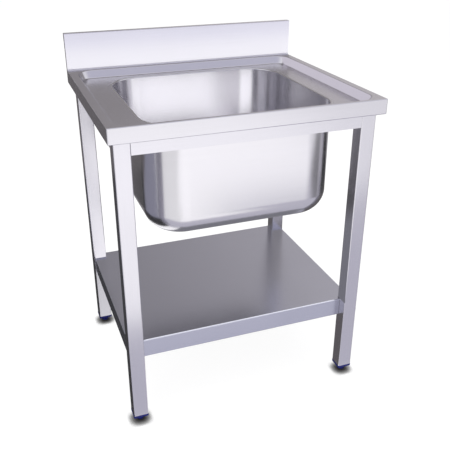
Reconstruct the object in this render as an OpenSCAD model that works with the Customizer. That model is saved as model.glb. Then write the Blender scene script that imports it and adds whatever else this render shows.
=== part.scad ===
// Utility laundry sink: a folded stainless worktop with one deep bowl, four tube legs and a lower shelf.
// Lengths are in millimetres. The floor is z = 0, the front rim faces -Y, x = 0 and y = 0 are the middle.

/* [Worktop] */
// Width of the worktop, left to right
worktop_w = 700; // [680:10:900]
// Depth of the worktop, from the front rim to the back of the upstand
worktop_d = 600; // [590:10:700]
// Height of the worktop's top face above the floor
worktop_h = 850; // [750:5:950]
// Height of the folded rim
rim_h = 39; // [34:1:60]
// Width of the lip folded inwards under the rim
rim_lip = 12; // [8:1:14]
// Thickness of the stainless sheet
sheet_t = 1.2; // [0.8:0.1:2]

/* [Upstand] */
// Height of the upstand above the worktop's top face
upstand_h = 104; // [60:1:200]
// Thickness of the upstand, front to back
upstand_t = 19; // [12:1:24]
// Height of the fold that turns down behind the upstand
upstand_fold = 24; // [10:1:50]

/* [Pressed recess] */
// Width of the raised edge on the left and on the right
edge_side = 21; // [16:1:40]
// Width of the raised edge at the front
edge_front = 10; // [6:1:18]
// Width of the raised edge at the foot of the upstand
edge_back = 14; // [8:1:24]
// Depth of the recess below the raised edge
recess_depth = 21; // [12:1:24]
// Horizontal run of the recess's sloping side
recess_run = 12; // [6:1:18]
// Corner radius at the top of the recess
recess_r = 45; // [30:1:60]

/* [Bowl] */
// Distance from the worktop's side to the bowl's outer wall
bowl_side = 100; // [97:1:150]
// Distance from the upstand's back to the bowl's outer wall
bowl_back = 72.5; // [70:0.5:120]
// Depth of the bowl below the floor of the recess
bowl_depth = 296; // [200:1:340]
// Outer radius of the bowl's upright corners
bowl_r = 97; // [80:1:120]
// Outer radius between the bowl's walls and its base
bowl_base_r = 63; // [40:1:70]
// Width and height of the flare at the bowl's top edge
bowl_lip = 3; // [1:0.5:5]
// Clearance between the front rail and the bowl
bowl_clear = 2; // [1:0.5:6]

/* [Frame] */
// Side of the square leg tube
leg_a = 40; // [30:1:45]
// Wall of the leg tube
leg_wall = 1.5; // [1:0.1:3]
// Distance from the worktop's side to the legs' outer faces
leg_inset_side = 15; // [14:1:40]
// Distance from the rim's front face to the front legs
leg_inset_front = 22.5; // [16:0.5:30]
// Distance from the upstand's back to the rear legs
leg_inset_back = 25.5; // [12:0.5:60]
// Height of the front and rear rails
rail_h = 40; // [30:1:50]
// Distance that the front and rear rails show below the rim
rail_show = 36; // [28:1:38]
// Depth of the front rail's channel, front to back
front_rail_d = 12; // [11.5:0.5:14]
// Depth of the rear rail's channel, front to back
rear_rail_d = 25; // [15:1:35]
// Wall of the rails
rail_wall = 1.5; // [1:0.1:2]
// Height of the side rails
side_rail_h = 30; // [20:1:36]
// Width of the side rails
side_rail_w = 20; // [12:1:30]

/* [Shelf] */
// Height of the shelf's top face above the floor
shelf_h = 250; // [150:5:400]
// Height of the shelf's folded edges
shelf_fold = 53; // [40:1:70]
// Distance from the front legs' front faces to the shelf's front edge
shelf_inset_front = 27.5; // [5:0.5:34]
// Distance from the legs' outer faces to the shelf's sides
shelf_inset_side = 5; // [2:0.5:6]
// Distance from the rear legs' back faces to the shelf's back edge
shelf_inset_back = 5.5; // [2:0.5:20]

/* [Feet] */
// Height of the hexagonal foot
hex_h = 16.5; // [14:0.5:30]
// Width of the hexagonal foot across its flats
hex_af = 17.3; // [14:0.1:22]
// Thickness of the tube end's flange
flange_t = 6; // [3:0.5:10]
// Radius of the foot's stud
stud_r = 5; // [4:0.5:6]
// Length of stud above the hexagonal foot
stud_l = 50; // [46:1:80]

/* [Waste outlet] */
// Radius of the waste hole in the bowl's base
waste_hole_r = 27; // [26:0.5:30]
// Radius of the waste flange
waste_flange_r = 35; // [32:0.5:45]
// Radius of the threaded outlet
waste_tail_r = 23.9; // [20:0.1:24.5]
// Length of the threaded outlet
waste_tail_l = 30; // [15:1:60]

/* [Hidden] */
// Overrun of cuts past a face
over = 1;
// Roundness of curves, in segments
$fn = 96;
// A quarter turn, in degrees
quarter = 90;
// Clearance between pieces that slide or turn against each other
run_gap = 0.3;
// Radial clearance of a shaft in its bore
shaft_gap = 0.05;

// Worktop and upstand
half_w = worktop_w / 2;
front_y = -worktop_d / 2;
back_y = worktop_d / 2;
rim_z = worktop_h - rim_h;
upstand_y = back_y - upstand_t;
upstand_z = worktop_h + upstand_h;

// Recess: its outline at the top, its floor, and the flat seam beside its sloping side
recess_x = half_w - edge_side;
recess_y0 = front_y + edge_front;
recess_y1 = upstand_y - edge_back;
recess_z = worktop_h - recess_depth;
seam = 3;
// Sheet thickness measured level across the sloping side
slope_t = sheet_t * sqrt(recess_run * recess_run + recess_depth * recess_depth) / recess_depth;

// Bowl, and the seam between it and the worktop
bowl_x = half_w - bowl_side;
bowl_y0 = front_y + leg_inset_front + front_rail_d + bowl_clear;
bowl_y1 = back_y - bowl_back;
bowl_mid_y = (bowl_y0 + bowl_y1) / 2;
bowl_z = recess_z - bowl_depth - sheet_t;
bowl_floor_z = bowl_z + sheet_t;
weld_gap = 0.3;

// Feet
glide_t = 2.5;
glide_r = 8.3;
glide_pin_r = 3.9;
glide_pin_h = 4;
glide_bore_h = 5;
stud_sunk = 9;
stud_clear = 0.6;
foot_z = glide_t + run_gap;
tube_end_z = foot_z + hex_h + run_gap;
flange_over = 0.5;
insert_gap = 0.2;
insert_h = 28;
insert_wall = 2;
boss_r = 11;
bush_r = 7;
bush_h = 15;

// Legs and rails; each leg is its middle in x and y, and the side of it that faces the shelf
leg_x1 = half_w - leg_inset_side;
leg_x0 = leg_x1 - leg_a;
leg_x = leg_x1 - leg_a / 2;
leg_y0 = front_y + leg_inset_front;
leg_y1 = back_y - leg_inset_back;
leg_z = tube_end_z + flange_t;
leg_edge_r = 2.5;
rail_z = rim_z - rail_show;
frame_z = rail_z + rail_h;
LEGS = [
    [-leg_x, leg_y0 + leg_a / 2, 1],
    [leg_x, leg_y0 + leg_a / 2, 1],
    [-leg_x, leg_y1 - leg_a / 2, -1],
    [leg_x, leg_y1 - leg_a / 2, -1]
];

// Stiffeners under the worktop, and the screws that hold them to the rails
stiffener_w = 30;
stiffener_clear = 6;
stiffener_end = 1.5;
stiffener_x = leg_x0 - stiffener_clear - stiffener_w / 2;
stiffener_z = recess_z - sheet_t;
screw_r = 2.5;
screw_hole_r = 2.75;
screw_head_r = 4.2;
screw_head_h = 3;
screw_tip = 1.5;
nut_af = 8;
nut_h = 4;
screw_y0 = leg_y0 + (rail_wall + front_rail_d) / 2;
screw_y1 = leg_y1 - (rail_wall + rear_rail_d) / 2;
SCREWS = [for (side = [-1, 1], y = [screw_y0, screw_y1]) [side * stiffener_x, y]];

// Shelf, its stiffener, brackets and bolts
shelf_x = leg_x1 - shelf_inset_side;
shelf_y0 = leg_y0 + shelf_inset_front;
shelf_y1 = leg_y1 - shelf_inset_back;
shelf_mid_y = (shelf_y0 + shelf_y1) / 2;
shelf_low_z = shelf_h - sheet_t;
shelf_lip = 12;
notch_gap = 0.5;
hat_w = 60;
hat_h = 25;
hat_lip = 14;
bracket_w = 24;
bracket_h = 36;
bracket_l = 32;
bracket_t = 3;
bolt_r = 3;
bolt_hole_r = 3.25;
bolt_head_af = 10;
bolt_head_h = 4;
bolt_tip = 2;
bolt_nut_h = 5;
bolt_drop = 20;
bolt_z = shelf_low_z - bolt_drop;

// Waste outlet
waste_play = 1;
waste_throat_r = waste_hole_r - waste_play;
waste_wall = 1.5;
waste_rim_t = 2;
seal_t = 1.5;
seal_inset = 1;
seal_r = waste_flange_r - seal_inset;
waste_top_z = bowl_floor_z + seal_t + waste_rim_t;
grid_t = 2;
grid_drop = 10;
grid_z = bowl_floor_z - grid_drop;
grid_hole_r = 4.2;
grid_ring_r = 15.5;
GRID_HOLES = 6;
clamp_r = 3;
clamp_head_r = 5.5;
clamp_head_h = 2.5;
clamp_l = 34;
gasket_t = 3;
gasket_r = waste_flange_r + seal_inset;
cup_z = bowl_z - gasket_t;
cup_rim_t = 4;
cup_wall = 3;
cup_r = waste_hole_r + cup_wall;
cup_h = 26;
cone_h = 6;
tail_wall = 3.5;
bridge_w = 7;
bridge_h = 10;
bridge_r = 7;
insert_r = 4;

// Plug and pull ring
plug_gap = 0.3;
plug_r = waste_throat_r - waste_wall - plug_gap;
plug_taper = 1.5;
plug_h = 8;
plug_cap_over = 3;
plug_cap_r = plug_r + plug_cap_over;
plug_cap_h = 3;
plug_z = waste_top_z + plug_gap;
lug_r = 3.6;
lug_t = 3.5;
lug_bore_r = 1.7;
ring_r = 11;
ring_wire_r = 1.25;
ring_z = plug_z + plug_cap_h + lug_bore_r + plug_gap;

// Colours
STEEL = [0.78, 0.78, 0.81];
TUBE = [0.74, 0.73, 0.78];
ZINC = [0.66, 0.66, 0.62];
BLUE = [0.12, 0.15, 0.50];
BRASS = [0.72, 0.58, 0.30];
BLACK = [0.10, 0.10, 0.11];
PLASTIC = [0.86, 0.86, 0.85];

// A box between two corners
module block(lo, hi) {
    translate(lo) cube(hi - lo);
}

// A flat outline with round corners
module rounded_outline(x0, x1, y0, y1, r) {
    translate([x0 + r, y0]) square([x1 - x0 - 2 * r, y1 - y0]);
    translate([x0, y0 + r]) square([x1 - x0, y1 - y0 - 2 * r]);
    for (x = [x0 + r, x1 - r], y = [y0 + r, y1 - r])
        translate([x, y]) circle(r);
}

// An upright block with round corners
module rounded_block(x0, x1, y0, y1, r, z0, z1) {
    translate([0, 0, z0]) linear_extrude(z1 - z0) rounded_outline(x0, x1, y0, y1, r);
}

// A flat profile carried round a rectangle with round corners; its x is counted from the corners' axes
module carried_round(x0, x1, y0, y1, r) {
    starts = [[x1 - r, y1 - r], [x0 + r, y1 - r], [x0 + r, y0 + r], [x1 - r, y0 + r]];
    run_x = x1 - x0 - 2 * r;
    run_y = y1 - y0 - 2 * r;
    runs = [run_y, run_x, run_y, run_x];
    for (k = [0:3])
        translate(starts[k]) rotate(quarter * k) {
            rotate([quarter, 0, 0]) linear_extrude(runs[k]) children();
            rotate_extrude(angle = quarter) children();
        }
}

// A hexagonal prism on the z axis, by its width across flats
module hex_prism(af, h) {
    cylinder(h = h, r = af / sqrt(3), $fn = 6);
}

// Distance from a corner's axis to the underside of the sloping side, at a drop below the top face
function slope_under(drop) = recess_r + slope_t - recess_run * drop / recess_depth;

// The worktop's sloping recess side, with a flat seam above and below it
module slope_profile() {
    foot = recess_r - recess_run - seam;
    low = recess_depth + sheet_t;
    polygon([
        [recess_r + seam, worktop_h],
        [recess_r, worktop_h],
        [recess_r - recess_run, recess_z],
        [foot, recess_z],
        [foot, worktop_h - low],
        [slope_under(low), worktop_h - low],
        [slope_under(sheet_t), worktop_h - sheet_t],
        [recess_r + seam, worktop_h - sheet_t]
    ]);
}

module worktop_plate() {
    difference() {
        block([-half_w, front_y, worktop_h - sheet_t], [half_w, upstand_y + sheet_t, worktop_h]);
        rounded_block(-recess_x - seam, recess_x + seam, recess_y0 - seam, recess_y1 + seam,
            recess_r + seam, worktop_h - sheet_t - over, worktop_h + over);
    }
}

module recess_floor() {
    shrink = recess_run + seam;
    hole = bowl_lip + weld_gap;
    difference() {
        rounded_block(-recess_x + shrink, recess_x - shrink, recess_y0 + shrink, recess_y1 - shrink,
            recess_r - shrink, recess_z - sheet_t, recess_z);
        rounded_block(-bowl_x - hole, bowl_x + hole, bowl_y0 - hole, bowl_y1 + hole,
            bowl_r + hole, recess_z - sheet_t - over, recess_z + over);
    }
}

module rim() {
    block([-half_w, front_y, rim_z], [half_w, front_y + sheet_t, worktop_h]);
    block([-half_w, front_y, rim_z], [half_w, front_y + rim_lip, rim_z + sheet_t]);
    for (side = [-1, 1]) {
        wall = side * (half_w - sheet_t / 2);
        lip = side * (half_w - rim_lip / 2);
        block([wall - sheet_t / 2, front_y, rim_z], [wall + sheet_t / 2, back_y, worktop_h]);
        block([lip - rim_lip / 2, front_y, rim_z], [lip + rim_lip / 2, back_y, rim_z + sheet_t]);
    }
}

module upstand() {
    block([-half_w, upstand_y, worktop_h - sheet_t], [half_w, upstand_y + sheet_t, upstand_z]);
    block([-half_w, upstand_y, upstand_z - sheet_t], [half_w, back_y, upstand_z]);
    block([-half_w, back_y - sheet_t, upstand_z - upstand_fold], [half_w, back_y, upstand_z]);
}

module worktop() {
    color(STEEL) {
        worktop_plate();
        carried_round(-recess_x, recess_x, recess_y0, recess_y1, recess_r) slope_profile();
        recess_floor();
        rim();
        upstand();
    }
}

module upstand_cap(side) {
    mid = side * (half_w - sheet_t / 2);
    color(STEEL)
        block([mid - sheet_t / 2, upstand_y + sheet_t, worktop_h],
            [mid + sheet_t / 2, back_y - sheet_t, upstand_z - sheet_t]);
}

// Half section of the bowl as a solid: base radius, upright wall and flare, from the corner's axis outwards
module bowl_section(inset) {
    r = bowl_r - inset;
    base_r = bowl_base_r - inset;
    low = bowl_z + inset;
    translate([0, low]) square([r - base_r, recess_z - low]);
    intersection() {
        translate([r - base_r, low + base_r]) circle(base_r);
        translate([r - base_r, low]) square([base_r, base_r]);
    }
    translate([r - base_r, low + base_r]) square([base_r, recess_z - low - base_r]);
    polygon([[r - base_r, recess_z - bowl_lip], [r, recess_z - bowl_lip], [r + bowl_lip, recess_z],
        [r - base_r, recess_z]]);
}

module bowl_wall_section() {
    difference() {
        bowl_section(0);
        bowl_section(sheet_t);
    }
}

module bowl() {
    color(STEEL) difference() {
        union() {
            carried_round(-bowl_x, bowl_x, bowl_y0, bowl_y1, bowl_r) bowl_wall_section();
            block([-bowl_x + bowl_r, bowl_y0 + bowl_r, bowl_z], [bowl_x - bowl_r, bowl_y1 - bowl_r, bowl_floor_z]);
        }
        translate([0, bowl_mid_y, bowl_z - over]) cylinder(h = sheet_t + 2 * over, r = waste_hole_r);
    }
}

module worktop_stiffener(side) {
    x = side * stiffener_x;
    w = stiffener_w / 2;
    color(ZINC) difference() {
        block([x - w, leg_y0 + stiffener_end, frame_z], [x + w, leg_y1 - stiffener_end, stiffener_z]);
        block([x - w + sheet_t, leg_y0 + stiffener_end - over, frame_z + sheet_t],
            [x + w - sheet_t, leg_y1 - stiffener_end + over, stiffener_z - sheet_t]);
        for (s = SCREWS)
            translate([s[0], s[1], frame_z - over]) cylinder(h = sheet_t + 2 * over, r = screw_hole_r);
    }
}

module worktop_screws() {
    color(ZINC) for (s = SCREWS)
        translate([s[0], s[1], frame_z - rail_wall]) {
            translate([0, 0, -screw_head_h]) cylinder(h = screw_head_h, r = screw_head_r);
            cylinder(h = rail_wall + sheet_t + nut_h + screw_tip, r = screw_r);
        }
}

module worktop_nuts() {
    color(ZINC) for (s = SCREWS)
        translate([s[0], s[1], frame_z + sheet_t]) difference() {
            hex_prism(nut_af, nut_h);
            translate([0, 0, -over]) cylinder(h = nut_h + 2 * over, r = screw_r + shaft_gap);
        }
}

// A channel along x whose web is at y0 and whose flanges reach to y1
module rail_channel(y0, y1) {
    dir = sign(y1 - y0);
    inner0 = y0 + dir * rail_wall;
    inner1 = y1 + dir * over;
    difference() {
        block([-leg_x0, min(y0, y1), rail_z], [leg_x0, max(y0, y1), frame_z]);
        block([-leg_x0 - over, min(inner0, inner1), rail_z + rail_wall],
            [leg_x0 + over, max(inner0, inner1), frame_z - rail_wall]);
        for (s = SCREWS)
            translate([s[0], s[1], frame_z - rail_wall - over])
                cylinder(h = rail_wall + 2 * over, r = screw_hole_r);
    }
}

module front_rail() {
    color(TUBE) rail_channel(leg_y0, leg_y0 + front_rail_d);
}

module rear_rail() {
    color(TUBE) rail_channel(leg_y1, leg_y1 - rear_rail_d);
}

module side_rail(side) {
    x = side * (leg_x1 - side_rail_w / 2);
    w = side_rail_w / 2;
    y0 = leg_y0 + leg_a;
    y1 = leg_y1 - leg_a;
    color(TUBE) difference() {
        block([x - w, y0, frame_z - side_rail_h], [x + w, y1, frame_z]);
        block([x - w + rail_wall, y0 - over, frame_z - side_rail_h + rail_wall],
            [x + w - rail_wall, y1 + over, frame_z - rail_wall]);
    }
}

// A square tube with a hole for the shelf's bolt in the side that faces the shelf
module leg(place) {
    h = leg_a / 2;
    inner = h - leg_wall;
    face = place[1] + place[2] * h;
    color(TUBE) difference() {
        rounded_block(place[0] - h, place[0] + h, place[1] - h, place[1] + h, leg_edge_r, leg_z, frame_z);
        rounded_block(place[0] - inner, place[0] + inner, place[1] - inner, place[1] + inner,
            leg_edge_r - leg_wall, leg_z - over, frame_z + over);
        translate([place[0], face + place[2] * over, bolt_z]) rotate([place[2] * quarter, 0, 0])
            cylinder(h = leg_wall + 2 * over, r = bolt_hole_r);
    }
}

module shelf_plate() {
    side = leg_a / 2 + notch_gap;
    difference() {
        block([-shelf_x, shelf_y0, shelf_low_z], [shelf_x, shelf_y1, shelf_h]);
        for (place = LEGS)
            block([place[0] - side, place[1] - side, shelf_low_z - over],
                [place[0] + side, place[1] + side, shelf_h + over]);
    }
}

module shelf() {
    low = shelf_h - shelf_fold;
    x = leg_x0 - notch_gap;
    y0 = leg_y0 + leg_a + notch_gap;
    y1 = leg_y1 - leg_a - notch_gap;
    color(STEEL) {
        shelf_plate();
        block([-x, shelf_y0, low], [x, shelf_y0 + sheet_t, shelf_h]);
        block([-x, shelf_y0, low], [x, shelf_y0 + shelf_lip, low + sheet_t]);
        block([-x, shelf_y1 - sheet_t, low], [x, shelf_y1, shelf_h]);
        block([-x, shelf_y1 - shelf_lip, low], [x, shelf_y1, low + sheet_t]);
        for (side = [-1, 1]) {
            wall = side * (shelf_x - sheet_t / 2);
            lip = side * (shelf_x - shelf_lip / 2);
            block([wall - sheet_t / 2, y0, low], [wall + sheet_t / 2, y1, shelf_h]);
            block([lip - shelf_lip / 2, y0, low], [lip + shelf_lip / 2, y1, low + sheet_t]);
        }
    }
}

// A hat channel under the shelf, its lips against the sheet
module shelf_stiffener() {
    w = hat_w / 2;
    low = shelf_low_z - hat_h;
    x = shelf_x - sheet_t - notch_gap;
    color(ZINC) {
        block([-x, shelf_mid_y - w, low], [x, shelf_mid_y + w, low + sheet_t]);
        for (side = [-1, 1]) {
            wall = shelf_mid_y + side * (w - sheet_t / 2);
            lip = shelf_mid_y + side * (w + hat_lip / 2);
            block([-x, wall - sheet_t / 2, low], [x, wall + sheet_t / 2, shelf_low_z]);
            block([-x, lip - hat_lip / 2, shelf_low_z - sheet_t], [x, lip + hat_lip / 2, shelf_low_z]);
        }
    }
}

// An angle plate that hangs the shelf on a leg; it is drawn at the leg's inner face and points to +Y
module bracket_shape() {
    w = bracket_w / 2;
    difference() {
        union() {
            block([-w, 0, shelf_low_z - bracket_h], [w, bracket_t, shelf_low_z]);
            block([-w, 0, shelf_low_z - bracket_t], [w, bracket_l, shelf_low_z]);
        }
        translate([0, -over, bolt_z]) rotate([-quarter, 0, 0])
            cylinder(h = bracket_t + 2 * over, r = bolt_hole_r);
    }
}

// Moves a shape drawn at x = 0 and pointing to +Y to the inner face of a leg
module at_leg_face(place) {
    translate([place[0], place[1] + place[2] * leg_a / 2, 0])
        rotate(quarter * (1 - place[2])) children();
}

module shelf_bracket(place) {
    color(ZINC) at_leg_face(place) bracket_shape();
}

module shelf_bolts() {
    reach = bracket_t + leg_wall + bolt_nut_h + bolt_tip;
    color(ZINC) for (place = LEGS)
        at_leg_face(place) translate([0, bracket_t, bolt_z]) rotate([quarter, 0, 0]) {
            cylinder(h = reach, r = bolt_r);
            translate([0, 0, -bolt_head_h]) hex_prism(bolt_head_af, bolt_head_h);
        }
}

module shelf_nuts() {
    color(ZINC) for (place = LEGS)
        at_leg_face(place) translate([0, -leg_wall, bolt_z]) rotate([quarter, 0, 0]) difference() {
            hex_prism(bolt_head_af, bolt_nut_h);
            translate([0, 0, -over]) cylinder(h = bolt_nut_h + 2 * over, r = bolt_r + shaft_gap);
        }
}

// A ribbed plug for the end of a leg tube, with the flange that shows
module tube_end(place) {
    flange = leg_a / 2 + flange_over;
    outer = leg_a / 2 - leg_wall - insert_gap;
    inner = outer - insert_wall;
    top = leg_z + insert_h;
    color(BLUE) translate([place[0], place[1], 0]) difference() {
        union() {
            rounded_block(-flange, flange, -flange, flange, leg_edge_r, tube_end_z, leg_z);
            difference() {
                rounded_block(-outer, outer, -outer, outer, leg_edge_r, leg_z - over, top);
                block([-inner, -inner, leg_z], [inner, inner, top + over]);
            }
            translate([0, 0, leg_z - over]) cylinder(h = insert_h + over, r = boss_r);
            block([-inner - over, -insert_wall / 2, leg_z - over], [inner + over, insert_wall / 2, top]);
            block([-insert_wall / 2, -inner - over, leg_z - over], [insert_wall / 2, inner + over, top]);
        }
        translate([0, 0, tube_end_z - over])
            cylinder(h = flange_t + insert_h + 2 * over, r = stud_r + stud_clear);
        translate([0, 0, top - bush_h]) cylinder(h = bush_h + over, r = bush_r + shaft_gap);
    }
}

module foot_bushes() {
    color(BRASS) for (place = LEGS)
        translate([place[0], place[1], leg_z + insert_h - bush_h]) difference() {
            cylinder(h = bush_h, r = bush_r);
            translate([0, 0, -over]) cylinder(h = bush_h + 2 * over, r = stud_r + shaft_gap);
        }
}

module foot(place) {
    color(BLUE) translate([place[0], place[1], foot_z]) difference() {
        hex_prism(hex_af, hex_h);
        translate([0, 0, -over]) cylinder(h = glide_bore_h + over, r = glide_pin_r + shaft_gap);
        translate([0, 0, hex_h - stud_sunk]) cylinder(h = stud_sunk + over, r = stud_r + shaft_gap);
    }
}

module foot_stud(place) {
    color(ZINC) translate([place[0], place[1], foot_z + hex_h - stud_sunk])
        cylinder(h = stud_sunk + stud_l, r = stud_r);
}

module foot_glide(place) {
    color(BLACK) translate([place[0], place[1], 0]) {
        cylinder(h = glide_t, r = glide_r);
        translate([0, 0, glide_t - over]) cylinder(h = glide_pin_h + over, r = glide_pin_r);
    }
}

// Moves a shape to the middle of the bowl's base, at a given height
module at_waste(z) {
    translate([0, bowl_mid_y, z]) children();
}

module ring_shape(outer_r, inner_r, h) {
    difference() {
        cylinder(h = h, r = outer_r);
        translate([0, 0, -over]) cylinder(h = h + 2 * over, r = inner_r);
    }
}

module waste_flange() {
    throat_h = waste_top_z - grid_z;
    color(STEEL) at_waste(grid_z) difference() {
        union() {
            cylinder(h = throat_h, r = waste_throat_r);
            translate([0, 0, throat_h - waste_rim_t]) cylinder(h = waste_rim_t, r = waste_flange_r);
        }
        translate([0, 0, grid_t]) cylinder(h = throat_h, r = waste_throat_r - waste_wall);
        translate([0, 0, -over]) cylinder(h = grid_t + 2 * over, r = clamp_r + shaft_gap);
        for (k = [0:GRID_HOLES - 1])
            rotate(k * 360 / GRID_HOLES) translate([grid_ring_r, 0, -over])
                cylinder(h = grid_t + 2 * over, r = grid_hole_r);
    }
}

module waste_seal() {
    color(BLACK) at_waste(bowl_floor_z) ring_shape(seal_r, waste_throat_r + shaft_gap, seal_t);
}

module waste_gasket() {
    color(BLACK) at_waste(cup_z) ring_shape(gasket_r, waste_throat_r + waste_play, gasket_t);
}

// Half section of the waste body: rim, cup, cone and threaded outlet
module waste_body_section() {
    polygon([
        [gasket_r, 0],
        [gasket_r, -cup_rim_t],
        [cup_r, -cup_rim_t],
        [cup_r, -cup_h],
        [waste_tail_r, -cup_h - cone_h],
        [waste_tail_r, -cup_h - cone_h - waste_tail_l],
        [waste_tail_r - tail_wall, -cup_h - cone_h - waste_tail_l],
        [waste_tail_r - tail_wall, -cup_h - cone_h],
        [cup_r - cup_wall, -cup_h],
        [cup_r - cup_wall, 0]
    ]);
}

module waste_body() {
    bridge_z = -cup_h + bridge_h;
    color(PLASTIC) at_waste(cup_z) difference() {
        union() {
            rotate_extrude() waste_body_section();
            block([-cup_r + cup_wall / 2, -bridge_w / 2, -cup_h], [cup_r - cup_wall / 2, bridge_w / 2, bridge_z]);
            translate([0, 0, -cup_h]) cylinder(h = bridge_h, r = bridge_r);
        }
        translate([0, 0, -cup_h - over]) cylinder(h = bridge_h + 2 * over, r = insert_r + shaft_gap);
    }
}

module waste_insert() {
    color(BRASS) at_waste(cup_z - cup_h) ring_shape(insert_r, clamp_r + shaft_gap, bridge_h);
}

module waste_screw() {
    color(ZINC) at_waste(grid_z + grid_t) {
        cylinder(h = clamp_head_h, r = clamp_head_r);
        translate([0, 0, -clamp_l]) cylinder(h = clamp_l, r = clamp_r);
    }
}

module waste_plug() {
    color(BLACK) at_waste(plug_z) difference() {
        union() {
            translate([0, 0, -plug_h]) cylinder(h = plug_h, r1 = plug_r - plug_taper, r2 = plug_r);
            cylinder(h = plug_cap_h, r = plug_cap_r);
            translate([-lug_t / 2, 0, ring_z - plug_z]) rotate([0, quarter, 0]) cylinder(h = lug_t, r = lug_r);
        }
        translate([-lug_t / 2 - over, 0, ring_z - plug_z]) rotate([0, quarter, 0])
            cylinder(h = lug_t + 2 * over, r = lug_bore_r);
    }
}

module plug_ring() {
    color(STEEL) at_waste(ring_z) translate([0, -ring_r, 0])
        rotate_extrude() translate([ring_r, 0]) circle(ring_wire_r);
}

worktop();
bowl();
upstand_cap(-1);  // upstand_cap_left
upstand_cap(1);  // upstand_cap_right
worktop_stiffener(-1);  // worktop_stiffener_left
worktop_stiffener(1);  // worktop_stiffener_right
worktop_screws();
worktop_nuts();
front_rail();
rear_rail();
side_rail(-1);  // side_rail_left
side_rail(1);  // side_rail_right
leg(LEGS[0]);  // leg_front_left
leg(LEGS[1]);  // leg_front_right
leg(LEGS[2]);  // leg_rear_left
leg(LEGS[3]);  // leg_rear_right
shelf();
shelf_stiffener();
shelf_bracket(LEGS[0]);  // shelf_bracket_front_left
shelf_bracket(LEGS[1]);  // shelf_bracket_front_right
shelf_bracket(LEGS[2]);  // shelf_bracket_rear_left
shelf_bracket(LEGS[3]);  // shelf_bracket_rear_right
shelf_bolts();
shelf_nuts();
tube_end(LEGS[0]);  // tube_end_front_left
tube_end(LEGS[1]);  // tube_end_front_right
tube_end(LEGS[2]);  // tube_end_rear_left
tube_end(LEGS[3]);  // tube_end_rear_right
foot_bushes();
foot(LEGS[0]);  // foot_front_left
foot(LEGS[1]);  // foot_front_right
foot(LEGS[2]);  // foot_rear_left
foot(LEGS[3]);  // foot_rear_right
foot_stud(LEGS[0]);  // foot_stud_front_left
foot_stud(LEGS[1]);  // foot_stud_front_right
foot_stud(LEGS[2]);  // foot_stud_rear_left
foot_stud(LEGS[3]);  // foot_stud_rear_right
foot_glide(LEGS[0]);  // foot_glide_front_left
foot_glide(LEGS[1]);  // foot_glide_front_right
foot_glide(LEGS[2]);  // foot_glide_rear_left
foot_glide(LEGS[3]);  // foot_glide_rear_right
waste_flange();
waste_seal();
waste_gasket();
waste_body();
waste_screw();
waste_insert();
waste_plug();
plug_ring();
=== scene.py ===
"""Utility laundry sink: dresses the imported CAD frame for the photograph's camera.

Units are metres. The floor is z = 0, the front rim faces -Y and +X is to the user's right.
"""
import math

import bmesh
import bpy
from mathutils import Euler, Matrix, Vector


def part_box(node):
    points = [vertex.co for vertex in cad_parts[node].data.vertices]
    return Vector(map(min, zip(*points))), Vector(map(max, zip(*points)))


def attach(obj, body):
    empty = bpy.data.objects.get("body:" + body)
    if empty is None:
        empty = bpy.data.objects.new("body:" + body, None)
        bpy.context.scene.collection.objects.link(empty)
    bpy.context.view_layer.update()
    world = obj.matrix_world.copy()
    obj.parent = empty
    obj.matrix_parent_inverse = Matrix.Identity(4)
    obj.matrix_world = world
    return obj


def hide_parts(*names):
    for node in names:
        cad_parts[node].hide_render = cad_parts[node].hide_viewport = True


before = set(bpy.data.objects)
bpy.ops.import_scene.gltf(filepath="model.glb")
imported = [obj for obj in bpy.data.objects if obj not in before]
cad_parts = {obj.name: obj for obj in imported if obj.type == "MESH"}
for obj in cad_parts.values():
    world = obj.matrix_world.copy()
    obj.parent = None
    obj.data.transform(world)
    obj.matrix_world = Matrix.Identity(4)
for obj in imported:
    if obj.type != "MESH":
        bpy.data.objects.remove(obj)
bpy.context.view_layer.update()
MM = 0.001

# The photograph's camera, solved from the worktop's corners; the turns are in radians
CAMERA_PLACE = Vector((-0.5717, -1.6352, 1.2741))
CAMERA_TURN_RIGHT = 0.353
CAMERA_LOOK_DOWN = 0.456
CAMERA_LENS = 51.82
CAMERA_SENSOR = 36

# The canopy's colours, and how far each reaches along an axis of direction
HORIZON = (0.98, 0.97, 1.0)
HORIZON_SPAN = (0.03, 0.11)
OVERHEAD = (1.1, 1.1, 1.14)
BEHIND_LEFT = (0.33, 0.312, 0.322)
BEHIND_RIGHT = (0.66, 0.63, 0.64)
SIDE_SPAN = (0.0, 0.65)
BEHIND_SPAN = (0.2, 0.6)
IN_FRONT = (0.7, 0.7, 0.82)
FRONT_SPAN = (-0.2, -0.5)

# The studio's sizes and light
FLOOR_SIZE = 40.0
CANOPY_R = 18.0
STUDIO_LIGHT = (0.62, 0.61, 0.63)
WHITE = (1, 1, 1)

# The floor: a share of it is lit by the lamps, the rest is white of itself, and both carry a painted
# contact shadow round the feet
FLOOR_LIT_SHARE = 0.2
FLOOR_WHITE = 1.14
FLOOR_COLOUR = (0.8, 0.8, 0.8)
# The colour of the painted contact shadow under the feet
FLOOR_PAINTED_SHADOW = (0.3, 0.28, 0.27)
CONTACT_SHADE = 26 * MM
CONTACT_POWER = 5.5
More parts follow.
